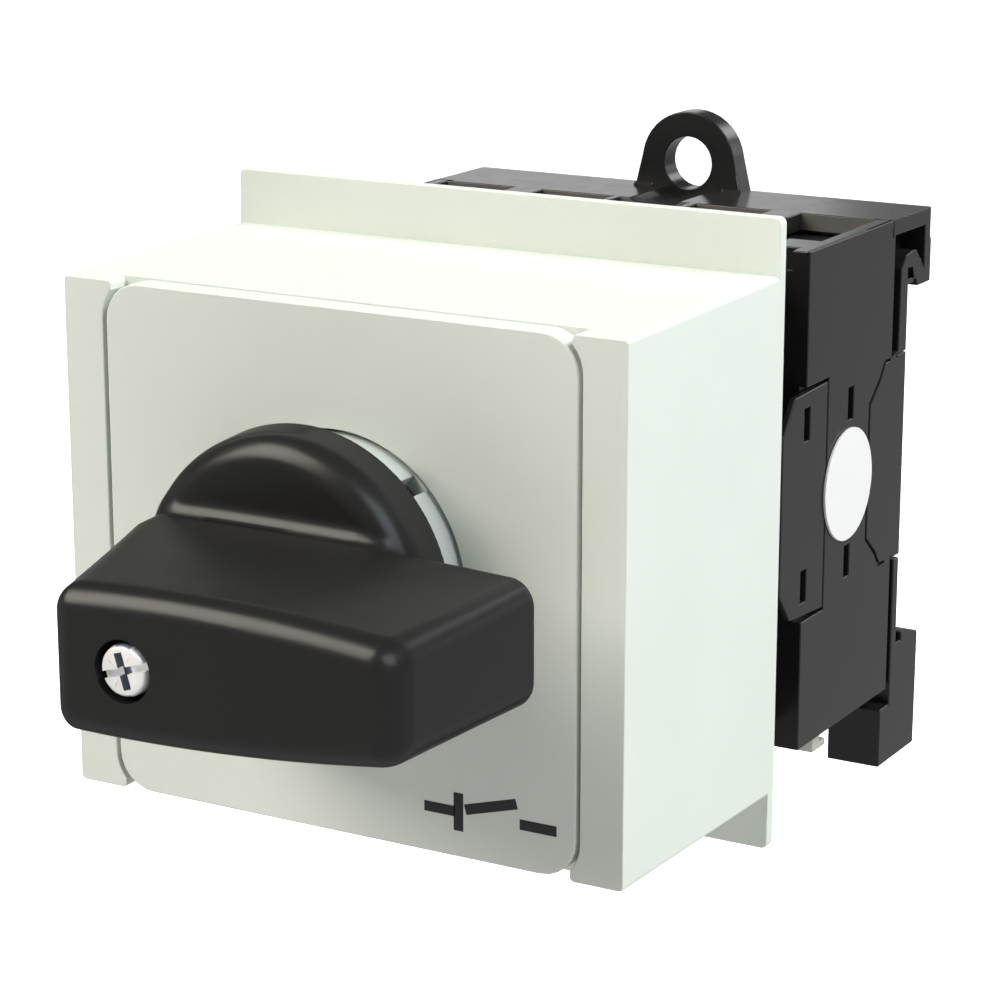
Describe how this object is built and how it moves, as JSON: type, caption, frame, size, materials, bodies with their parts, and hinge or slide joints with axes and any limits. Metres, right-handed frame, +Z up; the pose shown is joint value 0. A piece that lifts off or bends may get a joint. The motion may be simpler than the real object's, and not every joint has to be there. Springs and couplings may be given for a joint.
{
  "type": "rotary isolator switch",
  "caption": "Rail-mounted rotary isolator switch: light drafted cover with inset plate, black thumb grip on a round hub, dark contact base with fixing eye and rail hooks.",
  "frame": {"origin": "on the switch axis, in the flat rear face of the base that lies on the rail", "axes": "+X to the right seen from the front, +Y from front to back along the switch axis, +Z up"},
  "size_m": [0.0542, 0.0962, 0.0609],
  "materials": {
    "cover_plastic": "fine satin",
    "plate_plastic": "fine satin",
    "ring_plastic": "satin",
    "grip_plastic": "soft satin",
    "screw_steel": "zinc plated",
    "shaft_steel": "bright",
    "base_plastic": "satin",
    "label_white": "printed film",
    "peg_plated": "plated, matt",
    "cam_plastic": "natural",
    "contact_brass": "satin"
  },
  "bodies": {
    "switch_body": {"front_cover": "cover_plastic", "front_plate": "plate_plastic", "locating_ring": "ring_plastic", "detent_housing": "base_plastic", "detent_leaf_right": "shaft_steel", "detent_leaf_left": "shaft_steel", "unit1_housing": "base_plastic", "unit1_spring_top": "shaft_steel", "unit1_terminal_top_right": "contact_brass", "unit1_screw_top_right": "screw_steel", "unit1_terminal_top_left": "contact_brass", "unit1_screw_top_left": "screw_steel", "unit1_spring_bottom": "shaft_steel", "unit1_terminal_bottom_right": "contact_brass", "unit1_screw_bottom_right": "screw_steel", "unit1_terminal_bottom_left": "contact_brass", "unit1_screw_bottom_left": "screw_steel", "unit2_housing": "base_plastic", "unit2_spring_top": "shaft_steel", "unit2_terminal_top_right": "contact_brass", "unit2_screw_top_right": "screw_steel", "unit2_terminal_top_left": "contact_brass", "unit2_screw_top_left": "screw_steel", "unit2_spring_bottom": "shaft_steel", "unit2_terminal_bottom_right": "contact_brass", "unit2_screw_bottom_right": "screw_steel", "unit2_terminal_bottom_left": "contact_brass", "unit2_screw_bottom_left": "screw_steel", "end_plate": "base_plastic", "tie_bolt_right": "shaft_steel", "tie_bolt_left": "shaft_steel", "base_frame": "base_plastic", "latch_spring": "shaft_steel", "side_clip_right": "base_plastic", "side_clip_left": "base_plastic", "side_label": "label_white", "lower_peg": "peg_plated"},
    "rotor": {"thumb_grip": "grip_plastic", "grip_screw": "screw_steel", "shaft": "shaft_steel", "detent_wheel": "cam_plastic", "unit1_cam": "cam_plastic", "unit2_cam": "cam_plastic"},
    "unit1_contact_top": {"unit1_follower_top": "cam_plastic", "unit1_bridge_top": "contact_brass"},
    "unit1_contact_bottom": {"unit1_follower_bottom": "cam_plastic", "unit1_bridge_bottom": "contact_brass"},
    "unit2_contact_top": {"unit2_follower_top": "cam_plastic", "unit2_bridge_top": "contact_brass"},
    "unit2_contact_bottom": {"unit2_follower_bottom": "cam_plastic", "unit2_bridge_bottom": "contact_brass"},
    "rail_latch": {"rail_latch": "base_plastic"}
  },
  "joints": [
    {"name": "grip_turn", "type": "hinge", "parent": "switch_body", "child": "rotor", "pos_m": [0, -0.08, 0], "axis": [0, 1, 0], "range_deg": [0, 90]},
    {"name": "unit1_top_travel", "type": "slide", "parent": "switch_body", "child": "unit1_contact_top", "axis": [0, 0, -1], "range_m": [0, 0.0018], "deforming": ["unit1_spring_top"]},
    {"name": "unit1_bottom_travel", "type": "slide", "parent": "switch_body", "child": "unit1_contact_bottom", "axis": [0, 0, 1], "range_m": [0, 0.0018], "deforming": ["unit1_spring_bottom"]},
    {"name": "unit2_top_travel", "type": "slide", "parent": "switch_body", "child": "unit2_contact_top", "axis": [0, 0, -1], "range_m": [0, 0.0018], "deforming": ["unit2_spring_top"]},
    {"name": "unit2_bottom_travel", "type": "slide", "parent": "switch_body", "child": "unit2_contact_bottom", "axis": [0, 0, 1], "range_m": [0, 0.0018], "deforming": ["unit2_spring_bottom"]},
    {"name": "latch_travel", "type": "slide", "parent": "switch_body", "child": "rail_latch", "axis": [0, 0, -1], "range_m": [0, 0.0022], "stiffness_N_per_m": 600, "springref_m": -0.002, "deforming": ["latch_spring"]}
  ],
  "couplings": [
    {"joint": "unit1_top_travel", "follows": "grip_turn", "m_per_rad": 0.001145},
    {"joint": "unit1_bottom_travel", "follows": "grip_turn", "m_per_rad": 0.001145},
    {"joint": "unit2_top_travel", "follows": "grip_turn", "m_per_rad": 0.001145},
    {"joint": "unit2_bottom_travel", "follows": "grip_turn", "m_per_rad": 0.001145}
  ]
}
